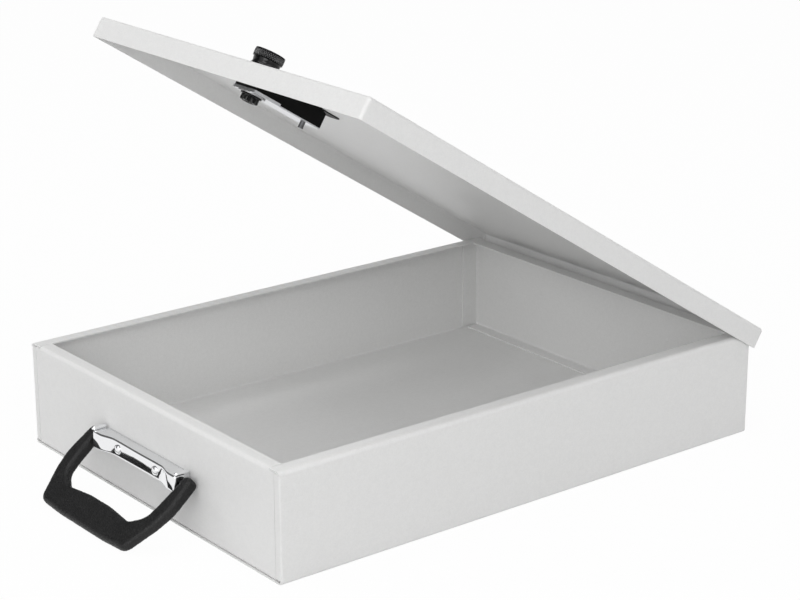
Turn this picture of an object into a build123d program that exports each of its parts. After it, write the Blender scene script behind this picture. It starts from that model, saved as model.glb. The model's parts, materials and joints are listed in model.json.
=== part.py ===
from build123d import *
import math
import os

# A steel document box: tray, hinged lid, knob lock and carrying handle.
# Millimetres, +Z up, origin at the centre of the tray's base, handle towards -Y, hinge towards +Y.

# Tray
WIDTH = 230.0
DEPTH = 312.0
HEIGHT = 57.5
SHEET = 0.8
BASE_BEND = 1.0
RIM_BEND = 1.4
SIDE_RIM = 8.5
FRONT_RIM = 7.5
BACK_RIM = 9.6
BOTTOM_RETURN = 9.0
WRAP = 4.3
WRAP_CORNER = 1.1
SEAM = 0.25
SLIT = 0.4
RELIEF = 0.3
BACKING_TAB = 10.0
CORNER_TAB = 12.0

# Lid, measured closed
LID_SIDE_GAP = 0.95
LID_FRONT_GAP = 0.95
LID_RISE = 1.0
LID_FLANGE = 11.5
LID_BEND = 0.9
LID_CORNER = 2.0
LID_END_ROUND = 2.2
REST_OPEN = 32.35

# Hinge
HINGE_OUT = 4.5
HINGE_DROP = 8.0
PIN_R = 0.95
RUN_FIT = 0.05
LEAF = 0.8
HINGE_LENGTH = 200.0
KNUCKLES = 7
KNUCKLE_GAP = 0.4
LEAF_DROP = 19.5
LEAF_NOTCH = 0.7
LID_LEAF_INSET = 2.9
HINGE_RIVET_X = 53.5
HINGE_RIVET_DROP = 13.0
HINGE_RIVET_R = 1.5
HINGE_RIVET_HEAD = 2.6

# Handle and its bracket
PIVOT_OUT = 4.6
PIVOT_Z = 28.4
PIVOT_R = 1.3
BRACKET_HALF = 39.0
BRACKET_END_DEPTH = 9.6
BRACKET_MID_DEPTH = 7.2
BRACKET_TALL = 8.8
BRACKET_SHEET = 1.0
BRACKET_FLARE_START = 22.0
BRACKET_FLARE_END = 33.0
BRACKET_ROUND = 1.1
RIVET_X = 17.6
RIVET_R = 1.7
RIVET_HEAD_R = 2.6
RIVET_HEAD_H = 1.3
RIVET_TAIL_H = 1.0
RIVET_WASHER_R = 4.5
RIVET_WASHER_T = 0.8
GRIP_GAP = 1.0
GRIP_TOP = 3.5
GRIP_TOP_ROUND = 3.0
GRIP_OUTER = 48.8
GRIP_WIDEST = 15.6
GRIP_SHOULDER_IN = 2.1
GRIP_HIP_IN = 2.5
GRIP_HIP = 26.5
GRIP_CORNER_IN = 9.5
GRIP_CORNER_UP = 1.0
GRIP_CORNER_ROUND = 6.0
GRIP_SOLE_IN = 28.3
GRIP_LONG = 45.0
WINDOW_TOP_IN = 1.2
WINDOW_TOP = 18.0
WINDOW_SIDE = 37.3
WINDOW_SIDE_AT = 24.8
WINDOW_CORNER = 28.3
WINDOW_LOW = 30.7
WINDOW_HUMP = 9.4
WINDOW_HUMP_UP = 1.9
WINDOW_ROUND = 7.0
WINDOW_HUMP_ROUND = 45.0
WINDOW_SIDE_ROUND = 9.0
WINDOW_TOP_ROUND = 4.0
WINDOW_MOUTH = 5.0
GRIP_THICK = 7.4
GRIP_THIN = 5.4
GRIP_EDGE_ROUND = 2.3
GRIP_FLANK_ROUND = 25.0
GRIP_HIP_ROUND = 14.0
GRIP_SOLE_ROUND = 55.0
GRIP_REST = 53.0
CORE_T = 2.4
CORE_WIDE = 4.0
CORE_X = 44.0
CORE_LONG = 38.5
CORE_BEND = 8.6
CORE_OVER = 1.0
PIN_IN_GRIP = 4.6
PIN_INSIDE = 1.0

# Knob and lock, closed, behind the tray's front face
KNOB_IN = 23.5
KNOB_R = 8.15
KNOB_HEAD = 4.5
KNOB_NECK_R = 6.2
KNOB_FOOT_R = 9.6
KNOB_TALL = 11.8
KNOB_BEVEL = 1.1
KNOB_LOW_BEVEL = 0.4
KNOB_NECK_FLARE = 0.5
KNOB_WAIST = 4.0
PLAY = 0.1
SPINDLE_R = 3.0
SPINDLE_IN_KNOB = 5.0
PLUG_R = 4.4
PLUG_DEEP = 5.6
KEYWAY_W = 1.1
KEYWAY_L = 5.6
KEYWAY_DEEP = 3.6
PLUG_CHAMFER = 0.3
CASE_HALF = 8.6
CASE_FRONT = 17.7
CASE_BACK = 64.5
CASE_TALL = 9.7
CASE_SHEET = 0.8
CASE_SLOPE_Y = 4.2
CASE_SLOPE_Z = 1.9
COVER_T = 0.6
COVER_OVER = 0.9
COVER_TAB_LONG = 17.7
COVER_TAB_UP = 0.9
WASHER_R = 7.4
WASHER_T = 0.7
NUT_FLANGE_R = 5.8
NUT_FLANGE_T = 0.8
NUT_R = 4.5
NUT_T = 2.2
NUT_LOBES = 6
NUT_FLUTE_R = 1.1
NUT_FLUTE_OUT = 0.55
STUD_X = 4.2
STUD_IN = 56.5
STUD_R = 1.4
STUD_LONG = 3.6
BOLT_T = 1.4
BOLT_HALF = 6.9
BOLT_UNDER_RIM = 0.7
BOLT_TIP = 11.6
BOLT_TAIL = 42.0
BOLT_FIT = 0.25
BOLT_CHAMFER = 1.5
CAM_R = 4.5
CAM_LOBE_R = 1.5
CAM_T = 2.6
CRANK = 4.6
CRANK_PIN_R = 1.0
CRANK_FIT = 0.25
CASE_RIVET_R = 1.5
CASE_RIVET_HEAD_R = 2.6
CASE_RIVET_HEAD_T = 0.9
CASE_RIVET_Y = 52.0
CASE_RIVET_X = 4.6

# How far a cut runs past the face that it opens
PAST = 1.0

# Places that follow from the sizes above
FRONT = -DEPTH / 2
BACK = DEPTH / 2
SIDE = WIDTH / 2
RIM_X = SIDE - SIDE_RIM
SEAM_X = SIDE - WRAP - SEAM
WALL_TOP = HEIGHT - SHEET - SLIT
KNUCKLE_R = PIN_R + RUN_FIT + LEAF
HINGE_Y = BACK + HINGE_OUT
HINGE_Z = HEIGHT - HINGE_DROP
LEAF_BOTTOM = HINGE_Z - LEAF_DROP
HINGE_RIVET_Z = HINGE_Z - HINGE_RIVET_DROP
LID_UNDER = HEIGHT + LID_RISE
LID_TOP = LID_UNDER + SHEET
LID_LOW = LID_TOP - LID_FLANGE
LID_HALF = SIDE + LID_SIDE_GAP + SHEET
LID_FRONT = FRONT - LID_FRONT_GAP - SHEET
LEAF_FACE = HINGE_Y - KNUCKLE_R
LID_BACK = LEAF_FACE + LEAF + SHEET
PIVOT_Y = FRONT - PIVOT_OUT
KNOB_Y = FRONT + KNOB_IN
CASE_LOW = LID_UNDER - CASE_TALL
COVER_LOW = CASE_LOW - COVER_T
WASHER_LOW = COVER_LOW - PLAY - WASHER_T
NUT_LOW = WASHER_LOW - NUT_FLANGE_T - NUT_T
KNOB_LOW = LID_TOP + PLAY
BOLT_TOP = HEIGHT - SHEET - BOLT_UNDER_RIM
BOLT_LOW = BOLT_TOP - BOLT_T
HINGE_LINE = Axis((0, HINGE_Y, HINGE_Z), (-1, 0, 0))
PIVOT_LINE = Axis((0, PIVOT_Y, PIVOT_Z), (-1, 0, 0))


def block(x, y, z):
    """A box from three (low, high) pairs."""
    solid = Box(x[1] - x[0], y[1] - y[0], z[1] - z[0])
    return Pos((x[0] + x[1]) / 2, (y[0] + y[1]) / 2, (z[0] + z[1]) / 2) * solid


def rod(radius, low, high, x=0.0, y=0.0):
    """An upright cylinder between two heights."""
    return Pos(x, y, (low + high) / 2) * Cylinder(radius, high - low)


def cross_rod(radius, left, right, y, z):
    """A cylinder along X."""
    return Pos((left + right) / 2, y, z) * Rot(0, 90, 0) * Cylinder(radius, right - left)


def depth_rod(radius, near, far, x, z):
    """A cylinder along Y."""
    return Pos(x, (near + far) / 2, z) * Rot(90, 0, 0) * Cylinder(radius, far - near)


def sheet_face(points, thickness, bends):
    """The section of a bent sheet: one face runs through the points, the sheet lies to their left."""
    count = len(points)
    unit = []
    for (ax, ay), (bx, by) in zip(points, points[1:]):
        length = math.hypot(bx - ax, by - ay)
        unit.append(((bx - ax) / length, (by - ay) / length))
    other = []
    face_radii = []
    other_radii = []
    for i, (px, py) in enumerate(points):
        ux, uy = unit[max(i - 1, 0)]
        vx, vy = unit[min(i, count - 2)]
        nx, ny = -uy - vy, ux + vx
        scale = 2 * thickness / (nx * nx + ny * ny)
        other.append((px + nx * scale, py + ny * scale))
        if 0 < i < count - 1:
            left_turn = ux * vy - uy * vx > 0
            bend = bends[i - 1]
            face_radii.append(bend + thickness if left_turn else bend)
            other_radii.append(bend if left_turn else bend + thickness)
    near = FilletPolyline(*points, radius=face_radii)
    far = FilletPolyline(*other, radius=other_radii)
    ends = [Line(points[0], other[0]), Line(points[-1], other[-1])]
    return make_face([*near.edges(), *far.edges(), *ends])


def along_x(face, left, right):
    """Pushes a section drawn as (y, z) from left to right."""
    return Pos(left, 0, 0) * extrude(Plane.YZ * face, right - left, dir=(1, 0, 0))


def along_y(face, near, far):
    """Pushes a section drawn as (x, z) from near to far."""
    return Pos(0, near, 0) * extrude(Plane.XZ * face, far - near, dir=(0, 1, 0))


def upwards(face, low, high):
    """Pushes a plan drawn as (x, y) from one height to another."""
    return Pos(0, 0, low) * extrude(face, high - low, dir=(0, 0, 1))


def both_sides(part):
    """The part and its mirror image across the middle plane."""
    return part + mirror(part, Plane.YZ)


# Tray
def tray_shell():
    """Bottom and long walls with rim returns, wrapped round on to the front face."""
    line = [(-RIM_X, HEIGHT), (-SIDE, HEIGHT), (-SIDE, 0), (SIDE, 0), (SIDE, HEIGHT), (RIM_X, HEIGHT)]
    bends = [RIM_BEND, BASE_BEND, BASE_BEND, RIM_BEND]
    shell = along_y(sheet_face(line, SHEET, bends), FRONT, BACK)
    low = SHEET + BASE_BEND + RELIEF
    for side in (-1, 1):
        edges = sorted((side * SIDE, side * (SIDE - WRAP)))
        shell += block(edges, (FRONT, FRONT + SHEET), (low, WALL_TOP))
        corner = sorted((side * SIDE, side * (SIDE - WRAP_CORNER)))
        top = HEIGHT - SHEET - RIM_BEND
        tool = block(corner, (FRONT, FRONT + WRAP_CORNER), (low, top))
        tool -= rod(WRAP_CORNER, low, top, side * (SIDE - WRAP_CORNER), FRONT + WRAP_CORNER)
        shell -= tool
    return shell


def front_panel():
    """Front wall with rim and bottom returns, and the tabs that back the seams."""
    line = [(FRONT + FRONT_RIM, HEIGHT), (FRONT, HEIGHT), (FRONT, SHEET), (FRONT + BOTTOM_RETURN, SHEET)]
    panel = along_x(sheet_face(line, SHEET, [RIM_BEND, BASE_BEND]), -SEAM_X, SEAM_X)
    rim_end = block((RIM_X - SEAM, SIDE), (FRONT - PAST, FRONT + FRONT_RIM + PAST), (WALL_TOP, HEIGHT + PAST))
    panel -= both_sides(rim_end)
    tab_top = HEIGHT - SHEET - RIM_BEND - RELIEF
    tab_low = 2 * SHEET + BASE_BEND + RELIEF
    inner = SIDE - SHEET
    tab = block((inner - BACKING_TAB, inner), (FRONT + SHEET, FRONT + 2 * SHEET), (tab_low, tab_top))
    panel += both_sides(tab)
    for x in (-RIVET_X, RIVET_X):
        panel -= depth_rod(RIVET_R, FRONT - PAST, FRONT + SHEET + PAST, x, PIVOT_Z)
    return panel


def back_panel():
    """Back wall with rim and bottom returns, and corner tabs on the long walls."""
    line = [(BACK - BOTTOM_RETURN, SHEET), (BACK, SHEET), (BACK, HEIGHT), (BACK - BACK_RIM, HEIGHT)]
    inner = SIDE - SHEET
    base_half = inner - BASE_BEND - SHEET - RELIEF
    panel = along_x(sheet_face(line, SHEET, [BASE_BEND, RIM_BEND]), -base_half, base_half)
    rim_end = block((RIM_X - SEAM, SIDE), (BACK - BACK_RIM - PAST, BACK + PAST), (WALL_TOP, HEIGHT + PAST))
    panel -= both_sides(rim_end)
    plan = [(inner, BACK - CORNER_TAB), (inner, BACK), (-inner, BACK), (-inner, BACK - CORNER_TAB)]
    low = SHEET + BASE_BEND + RELIEF
    top = HEIGHT - SHEET - RIM_BEND - RELIEF
    corners = upwards(sheet_face(plan, SHEET, [BASE_BEND, BASE_BEND]), low, top)
    corners &= block((base_half, SIDE), (BACK - CORNER_TAB - PAST, BACK + PAST), (low, top))
    panel += both_sides(corners)
    for x in (-HINGE_RIVET_X, HINGE_RIVET_X):
        panel -= depth_rod(HINGE_RIVET_R, BACK - SHEET - PAST, BACK + PAST, x, HINGE_RIVET_Z)
    return panel


# Hinge
def knuckle_spans(first):
    """The X spans of every second knuckle, from the first one named."""
    pitch = HINGE_LENGTH / KNUCKLES
    start = -HINGE_LENGTH / 2
    return [(start + i * pitch + KNUCKLE_GAP / 2, start + (i + 1) * pitch - KNUCKLE_GAP / 2)
            for i in range(first, KNUCKLES, 2)]


def hinge_bore():
    """What the pin's hole takes out of a leaf."""
    return cross_rod(PIN_R + RUN_FIT, -HINGE_LENGTH, HINGE_LENGTH, HINGE_Y, HINGE_Z)


def hinge_leaf_tray():
    """Leaf on the back wall, set back at 45 degrees to its knuckles."""
    reach = KNUCKLE_R * math.sqrt(0.5)
    top = (HINGE_Y - reach, HINGE_Z + reach)
    turn = (BACK, top[1] - (top[0] - BACK))
    face = sheet_face([top, turn, (BACK, LEAF_BOTTOM)], LEAF, [LEAF / 2])
    half = HINGE_LENGTH / 2 - KNUCKLE_GAP / 2
    leaf = along_x(face, -half, half)
    for left, right in knuckle_spans(1):
        gap = (left - KNUCKLE_GAP, right + KNUCKLE_GAP)
        leaf -= block(gap, (BACK, HINGE_Y + KNUCKLE_R), (turn[1] - 2 * LEAF - LEAF_NOTCH, HEIGHT))
    for left, right in knuckle_spans(0):
        leaf += cross_rod(KNUCKLE_R, left, right, HINGE_Y, HINGE_Z)
    leaf -= hinge_bore()
    for x in (-HINGE_RIVET_X, HINGE_RIVET_X):
        leaf -= depth_rod(HINGE_RIVET_R, BACK - PAST, BACK + LEAF + PAST, x, HINGE_RIVET_Z)
    return leaf


def hinge_leaf_lid():
    """Leaf on the inside of the lid's rear flange, rolled round the pin in its knuckles."""
    top = LID_UNDER - LID_BEND - RELIEF
    low = HINGE_Z + KNUCKLE_R + LEAF_NOTCH
    half = LID_HALF - LID_LEAF_INSET
    leaf = block((-half, half), (LEAF_FACE, LEAF_FACE + LEAF), (low, top))
    for span in knuckle_spans(1):
        leaf += block(span, (LEAF_FACE, LEAF_FACE + LEAF), (HINGE_Z, low))
        leaf += cross_rod(KNUCKLE_R, *span, HINGE_Y, HINGE_Z)
    leaf -= hinge_bore()
    return leaf


def hinge_pin():
    """The pin through all knuckles."""
    return cross_rod(PIN_R, -HINGE_LENGTH / 2, HINGE_LENGTH / 2, HINGE_Y, HINGE_Z)


def dome(radius, height):
    """A rivet head: a cap of a sphere standing on the XY plane."""
    ball = (radius * radius + height * height) / (2 * height)
    cap = Pos(0, 0, height - ball) * Sphere(ball)
    return cap & Pos(0, 0, height / 2) * Box(2 * radius + PAST, 2 * radius + PAST, height)


def hinge_leaf_rivets():
    """Rivets of the leaf: domed outside, nearly flush inside."""
    head = Pos(0, BACK + LEAF, 0) * Rot(-90, 0, 0) * dome(HINGE_RIVET_HEAD, LEAF)
    tail = Pos(0, BACK - SHEET, 0) * Rot(90, 0, 0) * dome(HINGE_RIVET_R, RELIEF)
    shank = depth_rod(HINGE_RIVET_R, BACK - SHEET, BACK + LEAF, 0, 0)
    rivet = head + tail + shank
    return [Pos(x, 0, HINGE_RIVET_Z) * rivet for x in (-HINGE_RIVET_X, HINGE_RIVET_X)]


# Handle
def bracket_plan(inset):
    """Half-plan of the bracket: deep at the ears, drawn in between the rivets."""
    end = BRACKET_HALF - inset
    deep = FRONT - BRACKET_END_DEPTH + inset
    shallow = FRONT - BRACKET_MID_DEPTH + inset
    web = Spline((-BRACKET_FLARE_END, deep), (-BRACKET_FLARE_START, shallow), tangents=[(1, 0), (1, 0)])
    other = Spline((BRACKET_FLARE_START, shallow), (BRACKET_FLARE_END, deep), tangents=[(1, 0), (1, 0)])
    lines = [
        Line((-end, FRONT), (-end, deep)),
        Line((-end, deep), (-BRACKET_FLARE_END, deep)),
        web,
        Line((-BRACKET_FLARE_START, shallow), (BRACKET_FLARE_START, shallow)),
        other,
        Line((BRACKET_FLARE_END, deep), (end, deep)),
        Line((end, deep), (end, FRONT)),
        Line((end, FRONT), (-end, FRONT)),
    ]
    return make_face(lines)


def handle_bracket():
    """Drawn cup, open to the wall, with a pivot hole in each ear and two rivet holes."""
    low = PIVOT_Z - BRACKET_TALL / 2
    high = low + BRACKET_TALL
    outer = upwards(bracket_plan(0), low, high)
    edges = [e for e in outer.edges() if e.center().Y < FRONT - BRACKET_ROUND]
    outer = fillet(edges, BRACKET_ROUND)
    cup = outer - upwards(bracket_plan(BRACKET_SHEET), low + BRACKET_SHEET, high - BRACKET_SHEET)
    cup -= cross_rod(PIVOT_R, -GRIP_OUTER, GRIP_OUTER, PIVOT_Y, PIVOT_Z)
    for x in (-RIVET_X, RIVET_X):
        cup -= depth_rod(RIVET_R, FRONT - BRACKET_END_DEPTH, FRONT, x, PIVOT_Z)
    return cup


def handle_rivets():
    """Rivets through the bracket's web and the front wall."""
    web = FRONT - BRACKET_MID_DEPTH
    inside = FRONT + SHEET + RIVET_WASHER_T
    shank = depth_rod(RIVET_R, web, inside, 0, 0)
    head = Pos(0, web, 0) * Rot(90, 0, 0) * dome(RIVET_HEAD_R, RIVET_HEAD_H)
    tail = Pos(0, inside, 0) * Rot(-90, 0, 0) * dome(RIVET_HEAD_R, RIVET_TAIL_H)
    return [Pos(x, 0, PIVOT_Z) * (shank + head + tail) for x in (-RIVET_X, RIVET_X)]


def rivet_washers():
    """Washers under the rivet tails, inside the front wall."""
    near = FRONT + SHEET
    ring = depth_rod(RIVET_WASHER_R, near, near + RIVET_WASHER_T, 0, 0)
    ring -= depth_rod(RIVET_R, near - PAST, near + RIVET_WASHER_T + PAST, 0, 0)
    return [Pos(x, 0, PIVOT_Z) * ring for x in (-RIVET_X, RIVET_X)]


def handle_pins():
    """Pivot pins from the ears into the legs of the grip."""
    start = BRACKET_HALF - BRACKET_SHEET - PIN_INSIDE
    end = BRACKET_HALF + GRIP_GAP + PIN_IN_GRIP
    pin = cross_rod(PIVOT_R, start, end, PIVOT_Y, PIVOT_Z)
    return [pin, mirror(pin, Plane.YZ)]


def hang(face, thickness):
    """Turns a section drawn as (x, distance below the pivot) into a plate hanging from the pivot."""
    flat = extrude(face, thickness / 2, both=True)
    return Pos(0, PIVOT_Y, PIVOT_Z) * Rot(-90, 0, 0) * flat


def core_body():
    """Steel strip through both legs and the grip."""
    top = -PIVOT_R - CORE_OVER
    line = [(CORE_X, top), (CORE_X, CORE_LONG), (-CORE_X, CORE_LONG), (-CORE_X, top)]
    return hang(sheet_face(line, CORE_T, [CORE_BEND, CORE_BEND]), CORE_WIDE)


def pivot_bores(clearance):
    """Holes for the pivot pins in grip and core."""
    end = BRACKET_HALF + GRIP_GAP + PIN_IN_GRIP + PLAY
    bore = cross_rod(PIVOT_R + clearance, BRACKET_HALF, end, PIVOT_Y, PIVOT_Z)
    return both_sides(bore)


def grip_outline():
    """Outline of the grip around its window, as (x, distance below the pivot)."""
    leg = BRACKET_HALF + GRIP_GAP
    outside = [
        (leg, -GRIP_TOP, GRIP_TOP_ROUND),
        (GRIP_OUTER - GRIP_SHOULDER_IN, -GRIP_TOP, GRIP_TOP_ROUND),
        (GRIP_OUTER, GRIP_WIDEST, GRIP_FLANK_ROUND),
        (GRIP_OUTER - GRIP_HIP_IN, GRIP_HIP, GRIP_HIP_ROUND),
        (GRIP_OUTER - GRIP_CORNER_IN, GRIP_LONG - GRIP_CORNER_UP, GRIP_CORNER_ROUND),
        (GRIP_OUTER - GRIP_SOLE_IN, GRIP_LONG, GRIP_SOLE_ROUND),
    ]
    window = [
        (WINDOW_HUMP, WINDOW_LOW - WINDOW_HUMP_UP, WINDOW_HUMP_ROUND),
        (WINDOW_CORNER, WINDOW_LOW, WINDOW_ROUND),
        (WINDOW_SIDE, WINDOW_SIDE_AT, WINDOW_SIDE_ROUND),
        (leg - WINDOW_TOP_IN, WINDOW_TOP, WINDOW_TOP_ROUND),
        (leg, WINDOW_MOUTH, WINDOW_TOP_ROUND),
    ]
    loop = outside + [(-x, s, r) for x, s, r in reversed(outside)]
    loop += [(-x, s, r) for x, s, r in reversed(window)] + window
    line = FilletPolyline(*[(x, s) for x, s, _ in loop], radius=[r for _, _, r in loop], close=True)
    return make_face(line.edges())


def grip_side():
    """Side view of the grip, as (y, z) about the pivot: it thins towards the palm."""
    top = GRIP_TOP + PAST
    low = GRIP_LONG + PAST
    half = GRIP_THICK / 2
    thin = GRIP_THIN / 2
    return make_face(Polyline((half, top), (-half, top), (-thin, -low), (thin, -low), close=True).edges())


def handle_grip():
    """Moulded grip with the core's cavity and the pivot bores."""
    across = along_x(grip_side(), -GRIP_OUTER - PAST, GRIP_OUTER + PAST)
    grip = hang(grip_outline(), 2 * GRIP_THICK) & Pos(0, PIVOT_Y, PIVOT_Z) * across
    faces = grip.faces().sort_by(Axis.Y)
    grip = fillet(faces[0].edges() + faces[-1].edges(), GRIP_EDGE_ROUND)
    grip -= core_body()
    grip -= pivot_bores(RUN_FIT)
    return grip


def handle_core():
    """The steel core with its pivot holes."""
    return core_body() - pivot_bores(RUN_FIT)


# Lid, drawn closed
def lid_shell():
    """Pressed plate with flanges all round, the rear one cut short above the knuckles."""
    def shape(inset, corner, edge, low):
        wide = 2 * (LID_HALF - inset)
        deep = LID_BACK - LID_FRONT - 2 * inset
        high = LID_TOP - inset - low
        body = Pos(0, (LID_BACK + LID_FRONT) / 2, low + high / 2) * Box(wide, deep, high)
        body = fillet(body.edges().filter_by(Axis.Z), corner)
        return fillet(body.faces().sort_by(Axis.Z)[-1].edges(), edge)

    outer = shape(0, LID_CORNER, LID_BEND + SHEET, LID_LOW)
    inner = shape(SHEET, LID_CORNER - SHEET, LID_BEND, LID_LOW - SHEET)
    lid = outer - inner
    short = HINGE_Z + KNUCKLE_R + LEAF_NOTCH
    room = LID_HALF - SHEET
    lid -= block((-room, room), (LEAF_FACE - PAST, LID_BACK + PAST), (LID_LOW - PAST, short))
    past = LID_HALF + PAST
    end_y = LID_BACK - LID_END_ROUND
    end_z = LID_LOW + LID_END_ROUND
    corner = block((-past, past), (end_y, LID_BACK + PAST), (LID_LOW - PAST, end_z))
    lid -= corner - cross_rod(LID_END_ROUND, -past, past, end_y, end_z)
    lid -= rod(SPINDLE_R + RUN_FIT, LID_UNDER - PAST, LID_TOP + PAST, 0, KNOB_Y)
    for x in (-CASE_RIVET_X, CASE_RIVET_X):
        lid -= rod(CASE_RIVET_R, LID_UNDER - PAST, LID_TOP + PAST, x, FRONT + CASE_RIVET_Y)
    return lid


def lock_case():
    """Folded case under the lid, open below, its rear top edge sloped off."""
    def shape(inset, low):
        front = FRONT + CASE_FRONT + inset
        back = FRONT + CASE_BACK - inset
        top = LID_UNDER - inset
        side = Polyline(
            (front, low), (front, top), (back - CASE_SLOPE_Y, top),
            (back, top - CASE_SLOPE_Z), (back, low), close=True,
        )
        half = CASE_HALF - inset
        return along_x(make_face(side.edges()), -half, half)

    case = shape(0, CASE_LOW) - shape(CASE_SHEET, CASE_LOW - PAST)
    mouth = BOLT_HALF + BOLT_FIT
    near = FRONT + CASE_FRONT
    height = (BOLT_LOW - BOLT_FIT, BOLT_TOP + BOLT_FIT)
    case -= block((-mouth, mouth), (near - PAST, near + CASE_SHEET + PAST), height)
    case -= rod(SPINDLE_R + RUN_FIT, CASE_LOW, LID_UNDER + PAST, 0, KNOB_Y)
    for x in (-CASE_RIVET_X, CASE_RIVET_X):
        case -= rod(CASE_RIVET_R, LID_UNDER - CASE_SHEET - PAST, LID_UNDER + PAST, x, FRONT + CASE_RIVET_Y)
    return case


def lock_cover():
    """Bright plate that closes the case, with a tab up each side."""
    half = CASE_HALF + COVER_OVER
    plate = block((-half, half), (FRONT + CASE_FRONT, FRONT + CASE_BACK), (COVER_LOW, CASE_LOW))
    span = (FRONT + CASE_FRONT, FRONT + CASE_FRONT + COVER_TAB_LONG)
    tab = block((CASE_HALF + PLAY, half), span, (CASE_LOW, CASE_LOW + COVER_TAB_UP))
    plate += both_sides(tab)
    for left in (-half - PAST, CASE_HALF + PLAY):
        side = (left, left + PAST + COVER_OVER - PLAY)
        plate -= block(side, (span[1], FRONT + CASE_BACK + PAST), (COVER_LOW - PAST, CASE_LOW + PAST))
    plate -= rod(SPINDLE_R + RUN_FIT, COVER_LOW - PAST, CASE_LOW + PAST, 0, KNOB_Y)
    plate -= rod(STUD_R, COVER_LOW - PAST, CASE_LOW + PAST, STUD_X, FRONT + STUD_IN)
    return plate


def cover_stud():
    """Steel stud through the cover."""
    return rod(STUD_R, COVER_LOW - STUD_LONG, CASE_LOW, STUD_X, FRONT + STUD_IN)


def case_rivets():
    """Flat rivets that hold the case to the lid, their heads inside the case."""
    low = LID_UNDER - CASE_SHEET
    shank = rod(CASE_RIVET_R, low, LID_TOP)
    head = rod(CASE_RIVET_HEAD_R, low - CASE_RIVET_HEAD_T, low)
    return [Pos(x, FRONT + CASE_RIVET_Y, 0) * (shank + head) for x in (-CASE_RIVET_X, CASE_RIVET_X)]


def knob():
    """Head on a waisted neck that flares to its foot."""
    top = KNOB_LOW + KNOB_TALL
    head_low = top - KNOB_HEAD
    neck_top = KNOB_NECK_R + KNOB_NECK_FLARE
    neck = Spline((KNOB_FOOT_R, KNOB_LOW), (KNOB_NECK_R, KNOB_LOW + KNOB_WAIST), (neck_top, head_low))
    head = Polyline(
        (neck_top, head_low), (KNOB_R - KNOB_LOW_BEVEL, head_low), (KNOB_R, head_low + KNOB_LOW_BEVEL),
        (KNOB_R, top - KNOB_BEVEL), (KNOB_R - KNOB_BEVEL, top), (0, top),
        (0, KNOB_LOW), (KNOB_FOOT_R, KNOB_LOW),
    )
    body = revolve(Plane.XZ * make_face([neck, *head.edges()]), Axis.Z)
    body -= rod(SPINDLE_R, KNOB_LOW - PAST, KNOB_LOW + SPINDLE_IN_KNOB)
    body -= rod(PLUG_R + RUN_FIT, top - PLUG_DEEP, top + PAST)
    return Pos(0, KNOB_Y, 0) * body


def key_plug():
    """Lock cylinder in the knob's head, with a plain keyway."""
    top = KNOB_LOW + KNOB_TALL
    plug = rod(PLUG_R, top - PLUG_DEEP + PLAY, top)
    plug = chamfer(plug.faces().sort_by(Axis.Z)[-1].edges(), PLUG_CHAMFER)
    keyway = Pos(0, 0, top - KEYWAY_DEEP / 2) * Box(KEYWAY_L, KEYWAY_W, KEYWAY_DEEP)
    plug -= keyway
    return Pos(0, KNOB_Y, 0) * plug


def spindle():
    """Shaft from the knob through lid, case, cam and cover to the nut."""
    return rod(SPINDLE_R, NUT_LOW, KNOB_LOW + SPINDLE_IN_KNOB, 0, KNOB_Y)


def crank_place():
    """Rest place of the eccentric pin from the spindle, an eighth turn behind the cross line."""
    reach = CRANK * math.sqrt(0.5)
    return reach, reach


def bolt_cam():
    """Disc on the spindle with a lobe for the pin that drives the bolt."""
    high = BOLT_LOW - PLAY
    x, y = crank_place()
    cam = rod(CAM_R, high - CAM_T, high) + rod(CAM_LOBE_R, high - CAM_T, high, x, y)
    cam += rod(CRANK_PIN_R, high - CAM_T, BOLT_TOP, x, y)
    cam -= rod(SPINDLE_R, high - CAM_T - PAST, high + PAST)
    return Pos(0, KNOB_Y, 0) * cam


def latch_bolt():
    """Flat bolt with a long hole for the spindle and a cross hole for the eccentric pin."""
    x, y = crank_place()
    body = block((-BOLT_HALF, BOLT_HALF), (FRONT + BOLT_TIP, FRONT + BOLT_TAIL), (BOLT_LOW, BOLT_TOP))
    tip = body.edges().filter_by(Axis.Z).group_by(Axis.Y)[0]
    body = chamfer(tip, BOLT_CHAMFER)
    room = SPINDLE_R + BOLT_FIT
    tall = (BOLT_LOW - PAST, BOLT_TOP + PAST)
    body -= block((-room, room), (KNOB_Y - room, KNOB_Y + 2 * y + room), tall)
    cross = (x - CRANK_PIN_R - CRANK_FIT, CRANK + CRANK_PIN_R + CRANK_FIT)
    half = CRANK_PIN_R + CRANK_FIT
    body -= block(cross, (KNOB_Y + y - half, KNOB_Y + y + half), tall)
    return body


def spindle_washer():
    """Steel disc between cover and nut."""
    high = WASHER_LOW + WASHER_T
    ring = rod(WASHER_R, WASHER_LOW, high) - rod(SPINDLE_R, WASHER_LOW - PAST, high + PAST)
    return Pos(0, KNOB_Y, 0) * ring


def spindle_nut():
    """Flanged nut with a lobed body."""
    flange_low = WASHER_LOW - NUT_FLANGE_T
    body = rod(NUT_FLANGE_R, flange_low, WASHER_LOW) + rod(NUT_R, NUT_LOW, flange_low)
    for i in range(NUT_LOBES):
        angle = 2 * math.pi * (i + 0.5) / NUT_LOBES
        reach = NUT_R + NUT_FLUTE_OUT
        body -= rod(NUT_FLUTE_R, NUT_LOW - PAST, flange_low, reach * math.cos(angle), reach * math.sin(angle))
    body -= rod(SPINDLE_R, NUT_LOW - PAST, WASHER_LOW + PAST)
    return Pos(0, KNOB_Y, 0) * body


def turned(part, line, angle):
    """One solid, or each of a list, turned about a line."""
    if isinstance(part, list):
        return [item.rotate(line, angle) for item in part]
    return part.rotate(line, angle)


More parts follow.
